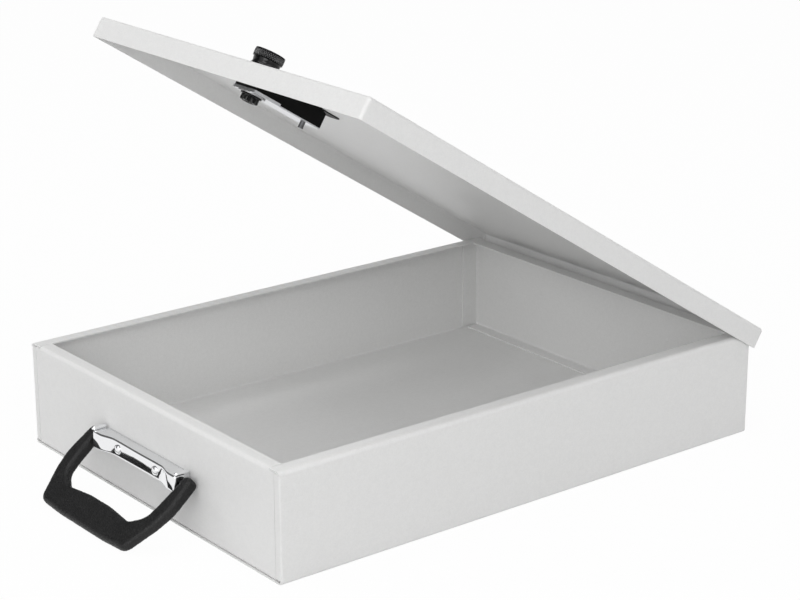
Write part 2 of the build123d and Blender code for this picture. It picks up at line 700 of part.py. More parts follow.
STANDING = {
    "tray_shell": tray_shell,
    "front_panel": front_panel,
    "back_panel": back_panel,
    "hinge_leaf_tray": hinge_leaf_tray,
    "hinge_leaf_rivets": hinge_leaf_rivets,
    "hinge_pin": hinge_pin,
    "handle_bracket": handle_bracket,
    "handle_rivets": handle_rivets,
    "rivet_washers": rivet_washers,
    "handle_pins": handle_pins,
}
ON_HANDLE = {
    "handle_grip": handle_grip,
    "handle_core": handle_core,
}
ON_LID = {
    "lid_shell": lid_shell,
    "hinge_leaf_lid": hinge_leaf_lid,
    "lock_case": lock_case,
    "lock_cover": lock_cover,
    "cover_stud": cover_stud,
    "case_rivets": case_rivets,
    "knob": knob,
    "key_plug": key_plug,
    "spindle": spindle,
    "bolt_cam": bolt_cam,
    "latch_bolt": latch_bolt,
    "spindle_washer": spindle_washer,
    "spindle_nut": spindle_nut,
}


def write(name, part):
    """Writes one node, joining a list of solids into one group."""
    if isinstance(part, list):
        solids = [solid for item in part for solid in item.solids()]
        part = Compound(children=solids)
    export_step(part, f"parts/{name}.step")


os.makedirs("parts", exist_ok=True)
for name, make in STANDING.items():
    write(name, make())
for name, make in ON_HANDLE.items():
    write(name, turned(make(), PIVOT_LINE, GRIP_REST))
for name, make in ON_LID.items():
    write(name, turned(make(), HINGE_LINE, REST_OPEN))
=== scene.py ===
"""Looks of a steel document box with a hinged lid, a knob lock and a carrying handle."""

from __future__ import annotations

import json
import logging
import math
from collections.abc import Callable, Iterable
from dataclasses import dataclass
from enum import Enum

import bmesh
import bpy
from mathutils import Matrix, Vector, noise

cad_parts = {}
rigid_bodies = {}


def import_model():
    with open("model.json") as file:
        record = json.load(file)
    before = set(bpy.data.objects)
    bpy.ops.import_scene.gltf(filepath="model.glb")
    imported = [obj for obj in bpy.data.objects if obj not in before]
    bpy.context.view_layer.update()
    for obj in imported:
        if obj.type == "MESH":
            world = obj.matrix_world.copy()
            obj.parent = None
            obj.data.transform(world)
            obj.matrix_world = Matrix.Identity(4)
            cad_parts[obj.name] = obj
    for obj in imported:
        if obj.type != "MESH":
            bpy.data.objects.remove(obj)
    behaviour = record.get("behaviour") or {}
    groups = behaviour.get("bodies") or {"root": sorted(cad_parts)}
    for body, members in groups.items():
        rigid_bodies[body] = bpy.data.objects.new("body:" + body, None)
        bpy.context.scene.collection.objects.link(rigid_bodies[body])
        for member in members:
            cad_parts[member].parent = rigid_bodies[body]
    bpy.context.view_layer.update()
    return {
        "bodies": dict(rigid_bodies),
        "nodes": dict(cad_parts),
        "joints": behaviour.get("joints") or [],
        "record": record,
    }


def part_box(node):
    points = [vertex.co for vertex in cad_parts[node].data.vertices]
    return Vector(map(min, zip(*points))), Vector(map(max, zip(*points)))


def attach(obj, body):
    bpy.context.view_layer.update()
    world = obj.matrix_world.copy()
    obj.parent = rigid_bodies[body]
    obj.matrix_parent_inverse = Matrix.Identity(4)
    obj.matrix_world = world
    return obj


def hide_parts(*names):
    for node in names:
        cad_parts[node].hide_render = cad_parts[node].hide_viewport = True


MM = 0.001
LOG = logging.getLogger("document_box")

Point = tuple[float, float, float]
Profile = list[tuple[float, float]]
Colour = tuple[float, float, float]
Shape = Callable[[float, float, float], float]


class Body(str, Enum):
    """The bodies that carry new pieces."""

    TRAY = "tray"
    HANDLE = "handle"
    LID = "lid"
    KNOB = "knob"


# Profiles in millimetres: how far in from the full radius, and how far up from a face

RIVET_COLLAR: Profile = [(0.45, 0.35), (0.12, 0.35), (0.0, 0.2), (0.0, -0.05), (0.9, -0.05)]
RIVET_TAIL: Profile = [(0.9, 1.0), (0.1, 0.9), (0.5, 0.35), (1.4, 0.05)]
NUT_END: Profile = [(1.9, 0.45), (1.6, 0.05), (1.3, 0.0), (0.9, 0.0), (0.35, 0.16), (0.0, 0.6)]


# Mesh helpers


def linked(name: str, data: bpy.types.ID) -> bpy.types.Object:
    """Makes an object and puts it into the scene.

    Args:
        name: its name.
        data: its mesh, camera or lamp.

    Returns:
        The object.
    """
    obj = bpy.data.objects.new(name, data)
    bpy.context.scene.collection.objects.link(obj)
    return obj


class Place:
    """A local frame in which a piece is drawn in millimetres."""

    def __init__(self, origin: Vector, x_axis: Vector, z_axis: Vector) -> None:
        """Sets the frame up.

        Args:
            origin: its origin in metres.
            x_axis: direction of local X.
            z_axis: direction of local Z.
        """
        x_axis, z_axis = x_axis.normalized(), z_axis.normalized()
        turn = Matrix((x_axis, z_axis.cross(x_axis), z_axis)).transposed().to_4x4()
        self.out = Matrix.Translation(origin) @ turn @ Matrix.Scale(MM, 4)
        self.into = self.out.inverted()

    def span(self, obj: bpy.types.Object) -> tuple[Vector, Vector]:
        """Lowest and highest corner of an object in this frame.

        Args:
            obj: the object, whose mesh lies in world place.

        Returns:
            The two corners in millimetres.
        """
        points = [self.into @ vert.co for vert in obj.data.vertices]
        low = Vector(min(p[i] for p in points) for i in range(3))
        high = Vector(max(p[i] for p in points) for i in range(3))
        return low, high


class Skin:
    """A mesh grown from rings of points, drawn in a local frame."""

    def __init__(self, place: Place) -> None:
        """Starts an empty mesh."""
        self.place = place
        self.mesh = bmesh.new()

    def ring(self, points: Iterable[Vector]) -> list[bmesh.types.BMVert]:
        """Adds a row of vertices."""
        return [self.mesh.verts.new(self.place.out @ point) for point in points]

    def span(self, one: list, other: list, closed: bool = True) -> None:
        """Joins two rows of equal count with quads.

        Args:
            one: the first row.
            other: the second row.
            closed: whether the rows run round.
        """
        count = len(one)
        for i in range(count if closed else count - 1):
            j = (i + 1) % count
            self.mesh.faces.new((one[i], one[j], other[j], other[i]))

    def loft(self, rows: list[list], closed: bool = True) -> None:
        """Joins rows in their order and closes the first and the last with a flat face.

        Args:
            rows: the rows, of equal count.
            closed: whether each row runs round.
        """
        for one, other in zip(rows, rows[1:]):
            self.span(one, other, closed)
        self.mesh.faces.new(rows[0])
        self.mesh.faces.new(rows[-1])

    def fan(self, row: list, tip: Vector) -> None:
        """Closes a round row with triangles.

        Args:
            row: the row.
            tip: the point in which the triangles meet.
        """
        top = self.mesh.verts.new(self.place.out @ tip)
        for one, other in zip(row, row[1:] + row[:1]):
            self.mesh.faces.new((one, other, top))

    def lathe(self, profile: Profile, steps: int, shape: Shape | None = None, hollow: bool = False) -> None:
        """Turns a profile about local Z; its two ends meet each other or are closed at the axis.

        Args:
            profile: (radius, height) pairs in millimetres.
            steps: how many columns make the turn.
            shape: gives the radius at (radius, height, angle), or none for a true circle.
            hollow: whether the profile runs round a ring's section.
        """
        rows = []
        for radius, height in profile:
            points = []
            for i in range(steps):
                angle = 2 * math.pi * i / steps
                reach = shape(radius, height, angle) if shape else radius
                points.append(Vector((reach * math.cos(angle), reach * math.sin(angle), height)))
            rows.append(self.ring(points))
        for one, other in zip(rows, rows[1:]):
            self.span(one, other)
        if hollow:
            self.span(rows[-1], rows[0])
            return
        self.fan(rows[0], Vector((0, 0, profile[0][1])))
        self.fan(rows[-1], Vector((0, 0, profile[-1][1])))

    def finish(self, name: str, crease: float = 35.0) -> bpy.types.Object:
        """Makes the object.

        Args:
            name: its name.
            crease: edges that turn more than this many degrees stay sharp.

        Returns:
            The new object, linked to the scene.
        """
        bmesh.ops.remove_doubles(self.mesh, verts=self.mesh.verts, dist=1e-7)
        bmesh.ops.recalc_face_normals(self.mesh, faces=self.mesh.faces)
        data = bpy.data.meshes.new(name)
        self.mesh.to_mesh(data)
        self.mesh.free()
        for face in data.polygons:
            face.use_smooth = True
        data.set_sharp_from_angle(angle=math.radians(crease))
        return linked(name, data)


def arc(centre: tuple[float, float], radius: float, start: float, end: float, steps: int) -> Profile:
    """Points along an arc.

    Args:
        centre: its centre.
        radius: its radius.
        start: first angle in degrees.
        end: last angle in degrees.
        steps: how many stretches it gets.

    Returns:
        The points, both ends included.
    """
    angles = [math.radians(start + (end - start) * i / steps) for i in range(steps + 1)]
    return [(centre[0] + radius * math.cos(a), centre[1] + radius * math.sin(a)) for a in angles]


def with_normals(line: Profile, closed: bool = False) -> list[tuple[Vector, Vector]]:
    """Gives each point of a plan line the level direction to the left of the line.

    Args:
        line: the points.
        closed: whether the line runs round.

    Returns:
        Points with their directions.
    """
    count = len(line)
    result = []
    for i, point in enumerate(line):
        before = line[(i - 1) % count] if closed else line[max(i - 1, 0)]
        after = line[(i + 1) % count] if closed else line[min(i + 1, count - 1)]
        along = Vector((after[0] - before[0], after[1] - before[1], 0)).normalized()
        result.append((Vector((*point, 0)), Vector((-along.y, along.x, 0))))
    return result


def ease(low: float, high: float, value: float) -> float:
    """A smooth step from nought at low to one at high."""
    share = min(1.0, max(0.0, (value - low) / (high - low)))
    return share * share * (3 - 2 * share)


# Shader helpers


class Graph:
    """A short way to place and join shader nodes in one tree."""

    def __init__(self, tree: bpy.types.NodeTree) -> None:
        """Keeps the tree that nodes go into."""
        self.tree = tree

    @classmethod
    def emptied(cls, owner: bpy.types.Material | bpy.types.World) -> Graph:
        """Opens the tree of a material or world and clears it.

        Args:
            owner: the material or world.

        Returns:
            Its graph, without nodes.
        """
        owner.use_nodes = True
        owner.node_tree.nodes.clear()
        return cls(owner.node_tree)

    def add(self, kind: str, **values: object) -> bpy.types.Node:
        """Adds a node.

        Args:
            kind: the node's type name without its ShaderNode prefix.
            **values: properties, or sockets by name with spaces as underscores.

        Returns:
            The new node.
        """
        node = self.tree.nodes.new("ShaderNode" + kind)
        for name, value in values.items():
            if hasattr(node, name):
                setattr(node, name, value)
            else:
                self.feed(node.inputs[name.replace("_", " ")], value)
        return node

    def feed(self, socket: bpy.types.NodeSocket, value: object) -> None:
        """Joins an output to a socket, or sets the socket's value.

        Args:
            socket: the input socket.
            value: an output socket or a plain value.
        """
        if isinstance(value, bpy.types.NodeSocket):
            self.tree.links.new(value, socket)
        else:
            socket.default_value = value

    def maths(self, kind: str, a: object, b: object = 0.0, c: object = 0.0) -> bpy.types.NodeSocket:
        """Adds a Math node.

        Args:
            kind: the operation's name.
            a: first value or output.
            b: second value or output.
            c: third value or output.

        Returns:
            The node's output.
        """
        node = self.add("Math", operation=kind)
        for socket, value in zip(node.inputs, (a, b, c)):
            self.feed(socket, value)
        return node.outputs[0]

    def mix_colour(self, factor: object, a: object, b: object) -> bpy.types.NodeSocket:
        """Mixes two colours.

        Args:
            factor: share of the second colour.
            a: first colour, as a 4-tuple or an output.
            b: second colour.

        Returns:
            The mixed colour's output.
        """
        node = self.add("Mix", data_type="RGBA")
        self.feed(node.inputs[0], factor)
        self.feed(node.inputs[6], a)
        self.feed(node.inputs[7], b)
        return node.outputs[2]

    def bump(self, shader: bpy.types.Node, height: object, depth: float, strength: float) -> None:
        """Feeds a height into a shader's normal.

        Args:
            shader: the Principled BSDF.
            height: the output that gives the height.
            depth: real depth of the relief in metres.
            strength: share of the relief to use.
        """
        node = self.add("Bump", Height=height, Distance=depth, Strength=strength)
        self.feed(shader.inputs["Normal"], node.outputs[0])


def rgba(colour: Colour) -> tuple[float, float, float, float]:
    """A colour with full opacity."""
    return (*colour, 1.0)


class Effects:
    """Shader node groups that more than one finish uses."""

    def __init__(self) -> None:
        """Builds each group once."""
        self.grain = self._grain()
        self.handling = self._handling()
        self.leather = self._leather()
        self.brushed = self._brushed()

    @staticmethod
    def _start(name: str, inputs: dict[str, float], outputs: tuple[str, ...]) -> tuple[Graph, dict, dict]:
        """Opens a group with number sockets.

        Args:
            name: the group's name.
            inputs: socket names with their defaults.
            outputs: names of the number outputs.

        Returns:
            The graph, its input outlets by name, and its output sockets by name.
        """
        tree = bpy.data.node_groups.new(name, "ShaderNodeTree")
        for label, value in inputs.items():
            socket = tree.interface.new_socket(label, in_out="INPUT", socket_type="NodeSocketFloat")
            socket.default_value = value
        for label in outputs:
            tree.interface.new_socket(label, in_out="OUTPUT", socket_type="NodeSocketFloat")
        into = tree.nodes.new("NodeGroupInput")
        out = tree.nodes.new("NodeGroupOutput")
        return Graph(tree), dict(into.outputs.items()), dict(out.inputs.items())

    def _grain(self) -> bpy.types.NodeTree:
        """Fine powder texture: soft pimples with a few coarser ones.

        Returns:
            The group's tree.
        """
        inputs = {"Size": 1500.0, "Coarse Share": 0.35}
        graph, given, out = self._start("powder_grain", inputs, ("Height", "Shade"))
        place = graph.add("TexCoord").outputs["Object"]
        fine = graph.add("TexNoise", Vector=place, Scale=given["Size"], Detail=2.0, Roughness=0.55)
        third = graph.maths("MULTIPLY", given["Size"], 0.31)
        coarse = graph.add("TexNoise", Vector=place, Scale=third, Detail=1.0, Roughness=0.5)
        share = graph.maths("MULTIPLY", coarse.outputs[0], given["Coarse Share"])
        rest = graph.maths("SUBTRACT", 1.0, given["Coarse Share"])
        height = graph.maths("MULTIPLY_ADD", fine.outputs[0], rest, share)
        graph.feed(out["Height"], height)
        shade = graph.add("MapRange", Value=height, From_Min=0.35, From_Max=0.65)
        graph.feed(out["Shade"], shade.outputs[0])
        return graph.tree

    def _handling(self) -> bpy.types.NodeTree:
        """Wide, faint patches where hands and dust dull a surface.

        Returns:
            The group's tree.
        """
        graph, given, out = self._start("handling", {"Size": 18.0, "Contrast": 0.5}, ("Mask",))
        place = graph.add("TexCoord").outputs["Object"]
        cloud = graph.add("TexNoise", Vector=place, Scale=given["Size"], Detail=4.0, Roughness=0.62)
        centred = graph.maths("SUBTRACT", cloud.outputs[0], 0.5)
        scaled = graph.maths("MULTIPLY", centred, given["Contrast"])
        mask = graph.add("Math", operation="ADD", use_clamp=True)
        graph.feed(mask.inputs[0], scaled)
        graph.feed(mask.inputs[1], 0.5)
        graph.feed(out["Mask"], mask.outputs[0])
        return graph.tree

    def _leather(self) -> bpy.types.NodeTree:
        """Moulded leather grain: cells parted by creases.

        Returns:
            The group's tree.
        """
        inputs = {"Size": 900.0, "Crease": 0.18}
        graph, given, out = self._start("leather_grain", inputs, ("Height", "Creases"))
        place = graph.add("TexCoord").outputs["Object"]
        wide = graph.maths("MULTIPLY", given["Size"], 0.4)
        warp = graph.add("TexNoise", Vector=place, Scale=wide, Detail=2.0)
        shift = graph.add("VectorMath", operation="SCALE", Vector=warp.outputs[1], Scale=0.0011)
        moved = graph.add("VectorMath", operation="ADD")
        graph.feed(moved.inputs[0], place)
        graph.feed(moved.inputs[1], shift.outputs[0])
        cells = graph.add("TexVoronoi", feature="DISTANCE_TO_EDGE", Scale=given["Size"])
        graph.feed(cells.inputs["Vector"], moved.outputs[0])
        ridge = graph.add("MapRange", Value=cells.outputs["Distance"], From_Min=0.0, From_Max=given["Crease"])
        ridge.interpolation_type = "SMOOTHSTEP"
        narrow = graph.maths("MULTIPLY", given["Size"], 2.6)
        fine = graph.add("TexNoise", Vector=place, Scale=narrow, Detail=2.0)
        height = graph.maths("MULTIPLY_ADD", fine.outputs[0], 0.3, ridge.outputs[0])
        graph.feed(out["Height"], height)
        graph.feed(out["Creases"], graph.maths("SUBTRACT", 1.0, ridge.outputs[0]))
        return graph.tree

    def _brushed(self) -> bpy.types.NodeTree:
        """Fine drawn lines along X, as on rolled or turned steel.

        Returns:
            The group's tree.
        """
        graph, given, out = self._start("drawn_lines", {"Size": 2600.0, "Stretch": 0.02}, ("Height",))
        place = graph.add("TexCoord").outputs["Object"]
        stretch = graph.add("CombineXYZ", X=given["Stretch"], Y=1.0, Z=1.0)
        scaled = graph.add("VectorMath", operation="MULTIPLY")
        graph.feed(scaled.inputs[0], place)
        graph.feed(scaled.inputs[1], stretch.outputs[0])
        lines = graph.add("TexNoise", Vector=scaled.outputs[0], Scale=given["Size"], Detail=2.0)
        graph.feed(out["Height"], lines.outputs[0])
        return graph.tree


# Finishes


@dataclass(frozen=True)
class Finish:
    """A surface finish with handled patches; patterns are sized per metre and relief is in metres."""

    name: str
    colour: Colour
    roughness: float
    patch_size: float
    patch_contrast: float
    bump_share: float

    def material(self, effects: Effects) -> bpy.types.Material:
        """Builds the material.

        Args:
            effects: the shared node groups.

        Returns:
            The finished material.
        """
        made = bpy.data.materials.new(self.name)
        made.diffuse_color = rgba(self.colour)
        graph = Graph.emptied(made)
        shader = graph.add("BsdfPrincipled")
        graph.add("OutputMaterial", Surface=shader.outputs[0])
        self.shade(graph, shader, effects)
        return made

    def shade(self, graph: Graph, shader: bpy.types.Node, effects: Effects) -> None:
        """Sets the shader's sockets; each kind adds to this or has its own way.

        Args:
            graph: the material's graph.
            shader: its Principled BSDF.
            effects: the shared node groups.
        """
        graph.feed(shader.inputs["Base Color"], rgba(self.colour))

    def mottle(self, graph: Graph, shader: bpy.types.Node, mask: object, low: float, high: float) -> None:
        """Runs the base colour between two levels of itself.

        Args:
            graph: the material's graph.
            shader: its Principled BSDF.
            mask: the output that picks the level.
            low: level where the mask is nought.
            high: level where the mask is one.
        """
        ends = [rgba(tuple(level * c for c in self.colour)) for level in (low, high)]
        graph.feed(shader.inputs["Base Color"], graph.mix_colour(mask, *ends))

    def hands(self, graph: Graph, effects: Effects) -> bpy.types.NodeSocket:
        """Mask of the patches that hands have rubbed.

        Args:
            graph: the material's graph.
            effects: the shared node groups.

        Returns:
            The mask's output.
        """
        patches = {"Size": self.patch_size, "Contrast": self.patch_contrast}
        return graph.add("Group", node_tree=effects.handling, **patches).outputs["Mask"]

    def spread(self, graph: Graph, mask: object, width: float) -> bpy.types.NodeSocket:
        """Roughness that a mask moves over a width about the finish's own."""
        return graph.maths("MULTIPLY_ADD", mask, width, self.roughness - width / 2)


@dataclass(frozen=True)
class PowderCoat(Finish):
    """Light powder coat with a fine texture."""

    roughness: float = 0.38
    patch_size: float = 14.0
    patch_contrast: float = 0.8
    patch_gloss: float = 0.12
    grain_size: float = 1500.0
    relief: float = 0.00004
    bump_share: float = 0.5
    shade_depth: float = 0.05

    def shade(self, graph: Graph, shader: bpy.types.Node, effects: Effects) -> None:
        """Mottles the colour with the grain, and dulls handled patches."""
        grain = graph.add("Group", node_tree=effects.grain, Size=self.grain_size)
        self.mottle(graph, shader, grain.outputs["Shade"], 1.0 - self.shade_depth, 1.0)
        gloss = self.spread(graph, self.hands(graph, effects), self.patch_gloss)
        graph.feed(shader.inputs["Roughness"], gloss)
        graph.bump(shader, grain.outputs["Height"], self.relief, self.bump_share)


@dataclass(frozen=True)
class Plated(Finish):
    """Bright plating over pressed steel, slightly wavy."""

    roughness: float = 0.065
    patch_size: float = 90.0
    patch_contrast: float = 0.9
    patch_gloss: float = 0.05
    wave: float = 0.00012
    wave_size: float = 110.0
    wave_coarse: float = 0.6
    bump_share: float = 0.6

    def shade(self, graph: Graph, shader: bpy.types.Node, effects: Effects) -> None:
        """Mirror-like metal with faint waves from the press and smeared patches."""
        super().shade(graph, shader, effects)
        shader.inputs["Metallic"].default_value = 1.0
        waves = graph.add("Group", node_tree=effects.grain, Size=self.wave_size)
        graph.feed(waves.inputs["Coarse Share"], self.wave_coarse)
        gloss = self.spread(graph, self.hands(graph, effects), self.patch_gloss)
        graph.feed(shader.inputs["Roughness"], gloss)
        graph.bump(shader, waves.outputs["Height"], self.wave, self.bump_share)


@dataclass(frozen=True)
class DrawnSteel(Finish):
    """Satin steel with drawn lines."""

    roughness: float = 0.3
    patch_size: float = 60.0
    patch_contrast: float = 0.9
    patch_shade: float = 0.86
    line_gloss: float = 0.16
    relief: float = 0.00002
    bump_share: float = 0.6

    def shade(self, graph: Graph, shader: bpy.types.Node, effects: Effects) -> None:
        """Metal with fine lines in relief and gloss, and darker patches."""
        lines = graph.add("Group", node_tree=effects.brushed).outputs["Height"]
        self.mottle(graph, shader, self.hands(graph, effects), 1.0, self.patch_shade)
        shader.inputs["Metallic"].default_value = 1.0
        graph.feed(shader.inputs["Roughness"], self.spread(graph, lines, self.line_gloss))
        graph.bump(shader, lines, self.relief, self.bump_share)


@dataclass(frozen=True)
class GrainedPlastic(Finish):
    """Moulded plastic with leather grain and painted shade in its creases."""

    roughness: float = 0.42
    specular: float = 0.5
    patch_size: float = 40.0
    patch_contrast: float = 1.0
    patch_gloss: float = 0.14
    grain_size: float = 900.0
    relief: float = 0.00016
    bump_share: float = 0.55
    # Level of the painted shade in the creases.
    crease_painted_shade: float = 0.5
    crease_gloss: float = 0.2

    def shade(self, graph: Graph, shader: bpy.types.Node, effects: Effects) -> None:
        """Dull cells with deeper creases, which painted shade darkens."""
        shader.inputs["Specular IOR Level"].default_value = self.specular
        grain = graph.add("Group", node_tree=effects.leather, Size=self.grain_size)
        creases = grain.outputs["Creases"]
        # Painted shade: the colour is darkened in the creases, where shade falls.
        self.mottle(graph, shader, creases, 1.0, self.crease_painted_shade)
        worn = self.spread(graph, self.hands(graph, effects), self.patch_gloss)
        gloss = graph.maths("MULTIPLY_ADD", creases, self.crease_gloss, worn)
        graph.feed(shader.inputs["Roughness"], gloss)
        graph.bump(shader, grain.outputs["Height"], self.relief, self.bump_share)


@dataclass(frozen=True)
class SatinPlastic(Finish):
    """Plain moulded or lacquered black with a fine satin grain."""

    roughness: float = 0.34
    specular: float = 0.5
    patch_size: float = 70.0
    patch_contrast: float = 1.0
    patch_gloss: float = 0.16
    grain_size: float = 2600.0
    relief: float = 0.00002
    bump_share: float = 0.5
    pale: float = 1.5

    def shade(self, graph: Graph, shader: bpy.types.Node, effects: Effects) -> None:
        """Even satin black with fine grain and rubbed patches."""
        shader.inputs["Specular IOR Level"].default_value = self.specular
        grain = graph.add("Group", node_tree=effects.grain, Size=self.grain_size)
        self.mottle(graph, shader, grain.outputs["Shade"], 1.0, self.pale)
        gloss = self.spread(graph, self.hands(graph, effects), self.patch_gloss)
        graph.feed(shader.inputs["Roughness"], gloss)
        graph.bump(shader, grain.outputs["Height"], self.relief, self.bump_share)


class Finishes:
    """All materials of the box, built once."""

    COAT = PowderCoat("light_grey_powder_coat", (0.80, 0.80, 0.795))
    CHROME = Plated("bright_chrome", (0.86, 0.865, 0.875))
    STEEL = DrawnSteel("satin_steel", (0.56, 0.56, 0.57))
    ZINC = Plated("satin_zinc", (0.70, 0.71, 0.73), roughness=0.285, wave=0.00006)
    GRIP = GrainedPlastic("black_leather_grain", (0.004, 0.004, 0.0043), specular=0.4)
    # A rougher, darker copy of the cover's zinc for its bent lip: the darker colour is painted shade.
    DULL_SHADED_ZINC = Plated("dull_zinc", (0.30, 0.305, 0.31), roughness=0.345, wave=0.00006)
    DARK_STEEL = DrawnSteel("dark_steel", (0.16, 0.16, 0.165), roughness=0.38)
    # Lit and shaded copies of the knob's black: the knurled band's paler, shinier copy is painted light where
    # the knurl catches the lamps, and the knob's duller copy is painted shade on its neck.
    KNOB = SatinPlastic("glossy_black", (0.003, 0.003, 0.0033), roughness=0.13, specular=0.32)
    KNURL_LIT = SatinPlastic("knurled_black", (0.006, 0.006, 0.007), roughness=0.15, specular=1.0)
    LACQUER = SatinPlastic(
        "matt_black_lacquer", (0.0025, 0.0025, 0.0025), roughness=0.5, specular=0.1, grain_size=1800.0
    )

    def __init__(self) -> None:
        """Builds each finish's material."""
        effects = Effects()
        metals = (self.CHROME, self.STEEL, self.ZINC, self.DULL_SHADED_ZINC, self.DARK_STEEL)
        blacks = (self.GRIP, self.KNOB, self.KNURL_LIT, self.LACQUER)
        self.made = {finish.name: finish.material(effects) for finish in (self.COAT, *metals, *blacks)}

    def put(self, obj: bpy.types.Object, finish: Finish) -> None:
        """Gives an object one finish in all its material slots.

        Args:
            obj: the object.
            finish: what covers it.
        """
        material = self.made[finish.name]
        if not obj.data.materials:
            obj.data.materials.append(material)
        for i in range(len(obj.data.materials)):
            obj.data.materials[i] = material


# Studio


@dataclass(frozen=True)
class Softbox:
    """A square lamp: place and side in metres, power in watts, and whether shiny things mirror it."""

    name: str
    place: Point
    size: float
    power: float
    mirrored: bool = True


@dataclass
class Studio:
    """Camera, lights, world and floor."""

    camera_place: Point = (904.79, -705.48, 464.10)
    camera_right: Point = (0.61834, 0.78591, -0.00198)
    camera_up: Point = (-0.24892, 0.19824, 0.94802)
    camera_back: Point = (0.74545, -0.58570, 0.31821)
    lens: float = 101.483
    sensor: float = 36.0
    floor_half: float = 6.0
    floor_colour: Colour = (0.78, 0.78, 0.78)
    floor_white: float = 0.97
    sky: float = 0.3
    dark_sky: float = 0.12
    dark_from: float = 0.10
    dark_full: float = 0.34
    dark_left: float = -0.35
    dark_right: float = 0.15
    right_sky: float = 0.8
    aim: Point = (0.0, 0.0, 0.08)
    lamps: tuple[Softbox, ...] = (
        Softbox("front_softbox", (0.1, -1.6, 0.9), 1.2, 2.6),
        Softbox("corner_softbox", (0.95, -1.25, 0.75), 0.9, 7.5),
        Softbox("side_softbox", (1.7, 0.1, 0.9), 1.2, 7.6),
        Softbox("top_softbox", (0.0, -0.3, 2.0), 1.6, 15.4),
        Softbox("left_softbox", (-1.5, -0.9, 1.1), 1.2, 6.0, mirrored=False),
    )

    def build(self) -> None:
        """Makes the whole studio."""
        self.camera()
        self.world()
        self.floor()
        for lamp in self.lamps:
            self.hang(lamp)
        bpy.context.scene.view_settings.view_transform = "Standard"

    def camera(self) -> None:
        """Places the camera at the photograph's viewpoint."""
        data = bpy.data.cameras.new("camera")
        data.sensor_fit = "HORIZONTAL"
        data.sensor_width = self.sensor
        data.lens = self.lens
        data.clip_start = 0.05
        data.clip_end = 60.0
        camera = linked("camera", data)
        right, up, back = (Vector(v) for v in (self.camera_right, self.camera_up, self.camera_back))
        turn = Matrix((right, up, back)).transposed()
        camera.matrix_world = Matrix.Translation(Vector(self.camera_place) * MM) @ turn.to_4x4()
        bpy.context.scene.camera = camera

    def world(self) -> None:
        """White background, with a darker ceiling for what shines and even light for the rest."""
        world = bpy.data.worlds.new("studio")
        graph = Graph.emptied(world)
        heading = graph.add("SeparateXYZ", Vector=graph.add("TexCoord").outputs["Generated"])
        ceiling = graph.add(
            "MapRange", Value=heading.outputs["Z"], From_Min=self.dark_from, From_Max=self.dark_full,
            To_Min=1.0, To_Max=self.dark_sky, interpolation_type="SMOOTHSTEP",
        )
        right = graph.add(
            "MapRange", Value=heading.outputs["X"], From_Min=self.dark_left, From_Max=self.dark_right,
            To_Min=0.0, To_Max=self.right_sky, interpolation_type="SMOOTHSTEP",
        )
        mirrored = graph.maths("MAXIMUM", ceiling.outputs[0], right.outputs[0])
        path = graph.add("LightPath")
        rest = graph.add("Mix", Factor=path.outputs["Is Glossy Ray"], A=self.sky, B=mirrored)
        clear = graph.maths("MAXIMUM", path.outputs["Is Camera Ray"], path.outputs["Is Transmission Ray"])
        strength = graph.add("Mix", Factor=clear, A=rest.outputs[0], B=1.0).outputs[0]
        ground = graph.add("Background", Color=rgba((1.0, 1.0, 1.0)), Strength=strength)
        graph.add("OutputWorld", Surface=ground.outputs[0])
        bpy.context.scene.world = world

    @staticmethod
    def seen(graph: Graph) -> bpy.types.NodeSocket:
        """One for rays from the camera, a mirror or glass; nought for light that bounces.

        Args:
            graph: the graph that it goes into.

        Returns:
            The mask's output.
        """
        path = graph.add("LightPath")
        first = graph.maths("MAXIMUM", path.outputs["Is Camera Ray"], path.outputs["Is Glossy Ray"])
        return graph.maths("MAXIMUM", first, path.outputs["Is Transmission Ray"])

    def floor(self) -> None:
        """A wide pale floor that shows nearly white and keeps the shadow."""
        mesh = bpy.data.meshes.new("floor")
        half = self.floor_half
        corners = [(-half, -half, 0.0), (half, -half, 0.0), (half, half, 0.0), (-half, half, 0.0)]
        mesh.from_pydata(corners, [], [(0, 1, 2, 3)])
        material = bpy.data.materials.new("pale_floor")
        graph = Graph.emptied(material)
        matt = graph.add("BsdfDiffuse", Color=rgba(self.floor_colour))
        white = graph.add("Emission", Color=rgba((1.0, 1.0, 1.0)), Strength=1.0)
        share = graph.maths("MULTIPLY", self.seen(graph), self.floor_white)
        mixed = graph.add("MixShader")
        for socket, value in zip(mixed.inputs, (share, matt.outputs[0], white.outputs[0])):
            graph.feed(socket, value)
        graph.add("OutputMaterial", Surface=mixed.outputs[0])
        mesh.materials.append(material)
        floor = linked("floor", mesh)

    def hang(self, softbox: Softbox) -> None:
        """Adds one softbox that looks at the box.

        Args:
            softbox: its name, place, side length and power.
        """
        data = bpy.data.lights.new(softbox.name, "AREA")
        data.size = softbox.size
        data.energy = softbox.power
        lamp = linked(softbox.name, data)
        lamp.location = softbox.place
        lamp.visible_glossy = softbox.mirrored
        lamp.rotation_euler = (Vector(self.aim) - lamp.location).to_track_quat("-Z", "Y").to_euler()


# Sub-assemblies


